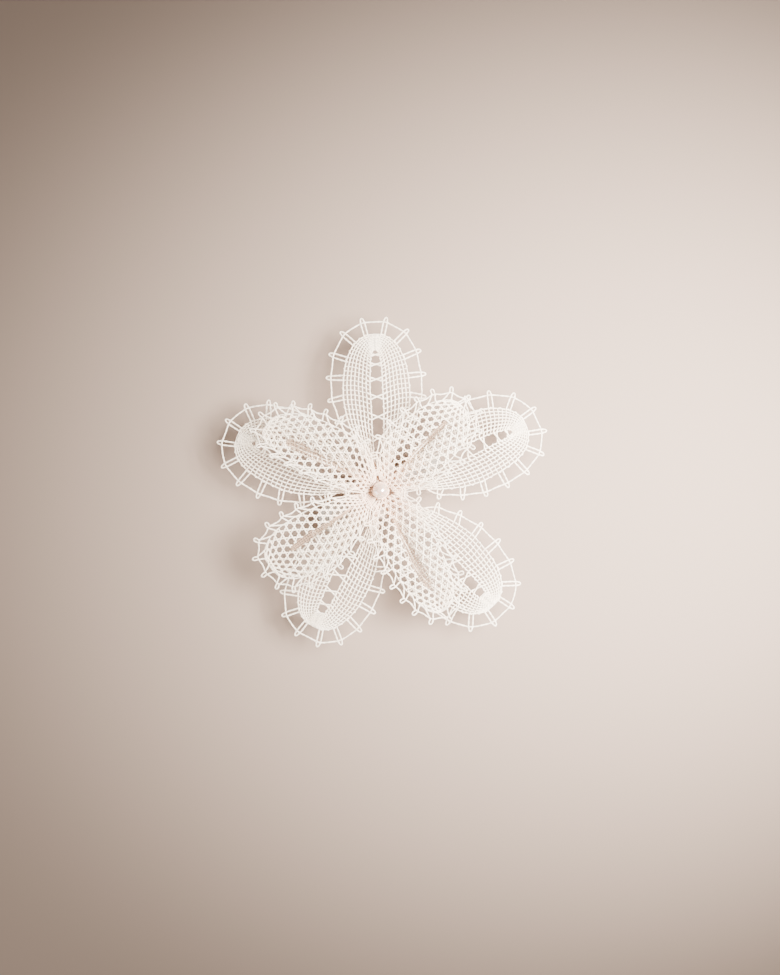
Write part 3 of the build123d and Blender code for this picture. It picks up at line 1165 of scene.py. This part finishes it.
def makeSpring():
    piece = mergedCopy("torsion_spring", "torsionSpring")
    shadeSmooth(piece)
    makeActive(piece)
    bpy.ops.object.shade_smooth_by_angle(angle=math.radians(40))
    piece.data.materials.append(springSteel)
    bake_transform(piece)
    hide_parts("torsion_spring")


for nodeName in ("upper_jaw", "lower_jaw", "hinge_pin"):
    finishSteel(nodeName, clipSteel)
makeSpring()
print("steel finished")


studio = {
    "floorSize": 2.4,
    "floorTone": (0.27, 0.2, 0.156, 1),
    "worldTone": (0.95, 0.93, 0.92, 1),
    "worldStrength": 0.5,
    "keyPlace": (0.419, 0.05, 0.551),
    "keyAim": (0.078, 0.006, 0),
    "keySpots": 7,           # one in the middle and a ring round it
    "keyRing": 0.13,
    "keyPower": 285,
    "keyTone": (1.0, 0.97, 0.94),
    "lowPlace": (-0.55, -0.35, 0.2),
    "lowAim": (0, 0, 0.01),
    "lowPower": 6,
    "lowTone": (1.0, 0.95, 0.90),
    "cameraHeight": 0.845,
    "cameraPlace": (0.00298, 0.00095),
    "lens": 100,
}


def makeFloor():
    bpy.ops.mesh.primitive_plane_add(size=studio["floorSize"], location=(0, 0, 0))
    floor = bpy.context.active_object
    floor.name = "floor"
    material, tree, shader = newMaterial("paleFloor", Roughness=0.9, Specular_IOR_Level=0.15)
    shader.inputs["Base Color"].default_value = studio["floorTone"]
    floor.data.materials.append(material)


def addLight(kind, name, place, aim, power, tone, **settings):
    bpy.ops.object.light_add(type=kind, location=place)
    light = bpy.context.active_object
    light.name = name
    light.data.energy = power
    light.data.color = tone
    for key, value in settings.items():
        setattr(light.data, key, value)
    light.rotation_euler = (Vector(aim) - Vector(place)).to_track_quat("-Z", "Y").to_euler()


def makeStudio():
    makeFloor()
    # the key is a cluster of spots with one aim: a soft light that still falls in a small pool
    middle, aim = Vector(studio["keyPlace"]), Vector(studio["keyAim"])
    facing = (aim - middle).normalized()
    sideways = facing.orthogonal().normalized()
    key = {"spot_size": math.radians(26), "spot_blend": 1.0, "shadow_soft_size": 0.075}
    power = studio["keyPower"] / studio["keySpots"]
    for number in range(studio["keySpots"]):
        angle = 2 * math.pi / (studio["keySpots"] - 1) * number
        turned = sideways * math.cos(angle) + facing.cross(sideways) * math.sin(angle)
        place = middle + turned * (studio["keyRing"] if number else 0)
        addLight("SPOT", "key" + str(number), place, aim, power, studio["keyTone"], **key)
    low = {"shape": "DISK", "size": 0.5}
    lowPlace, lowAim = studio["lowPlace"], studio["lowAim"]
    addLight("AREA", "lowFill", lowPlace, lowAim, studio["lowPower"], studio["lowTone"], **low)
    world = bpy.data.worlds.new("studioWorld")
    world.use_nodes = True
    background = world.node_tree.nodes["Background"]
    background.inputs["Color"].default_value = studio["worldTone"]
    background.inputs["Strength"].default_value = studio["worldStrength"]
    bpy.context.scene.world = world
    bpy.ops.object.camera_add(location=(*studio["cameraPlace"], studio["cameraHeight"]), rotation=(0, 0, 0))
    camera = bpy.context.active_object
    camera.data.lens = studio["lens"]
    bpy.context.scene.camera = camera


makeStudio()
print("studio ready")
